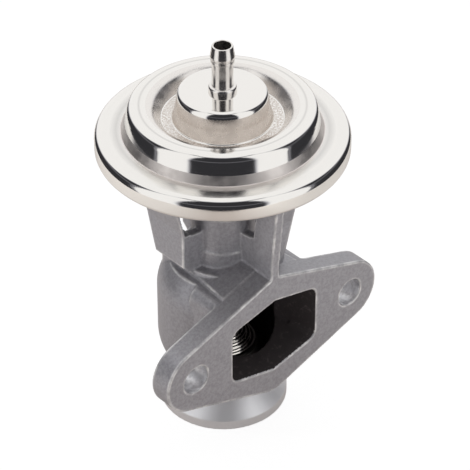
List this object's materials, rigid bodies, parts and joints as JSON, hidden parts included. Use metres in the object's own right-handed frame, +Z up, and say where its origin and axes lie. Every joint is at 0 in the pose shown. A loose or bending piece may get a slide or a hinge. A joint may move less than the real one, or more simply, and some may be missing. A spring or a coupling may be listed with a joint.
{
  "type": "egr valve",
  "caption": "Vacuum-operated exhaust gas recirculation valve: plated diaphragm can on a cast body with an open ribbed neck, a two-bolt flange with a hexagonal port and a round inlet boss.",
  "frame": {"origin": "stem axis at the mouth of the round inlet boss", "axes": "+Z up the stem to the vacuum nipple, the flange faces -Y, its two holes lie along X"},
  "size_m": [0.0808, 0.072, 0.1223],
  "materials": {
    "cast_body": "fine cast grain, machined faces",
    "plated_steel": "bright plating",
    "machined_steel": "turned",
    "seat_iron": "ground",
    "bronze": "plain",
    "zinc_steel": "zinc plated",
    "spring_steel": "drawn wire",
    "black_rubber": "moulded",
    "gasket_sheet": "fibre"
  },
  "bodies": {
    "housing": {"body_casting": "cast_body", "valve_seat_ring": "seat_iron", "guide_bush": "bronze", "stem_shield": "zinc_steel", "stem_seal": "black_rubber", "seal_retainer": "zinc_steel", "cover_gasket": "gasket_sheet", "lower_cover": "plated_steel", "cover_screw_washers": "zinc_steel", "cover_screws": "zinc_steel", "upper_cover": "plated_steel", "vacuum_nipple": "plated_steel", "diaphragm": "black_rubber", "return_spring": "spring_steel", "spring_seat": "zinc_steel", "travel_stop": "black_rubber"},
    "valve": {"poppet_head": "machined_steel", "poppet_collar": "machined_steel", "valve_stem": "machined_steel", "lower_diaphragm_plate": "zinc_steel", "upper_diaphragm_plate": "zinc_steel", "stem_washer": "zinc_steel", "stem_nut": "zinc_steel"}
  },
  "joints": [
    {"name": "valve_lift", "type": "slide", "parent": "housing", "child": "valve", "axis": [0, 0, 1], "range_m": [0, 0.005], "stiffness_N_per_m": 2500, "springref_m": -0.004, "deforming": ["return_spring", "diaphragm"]}
  ]
}
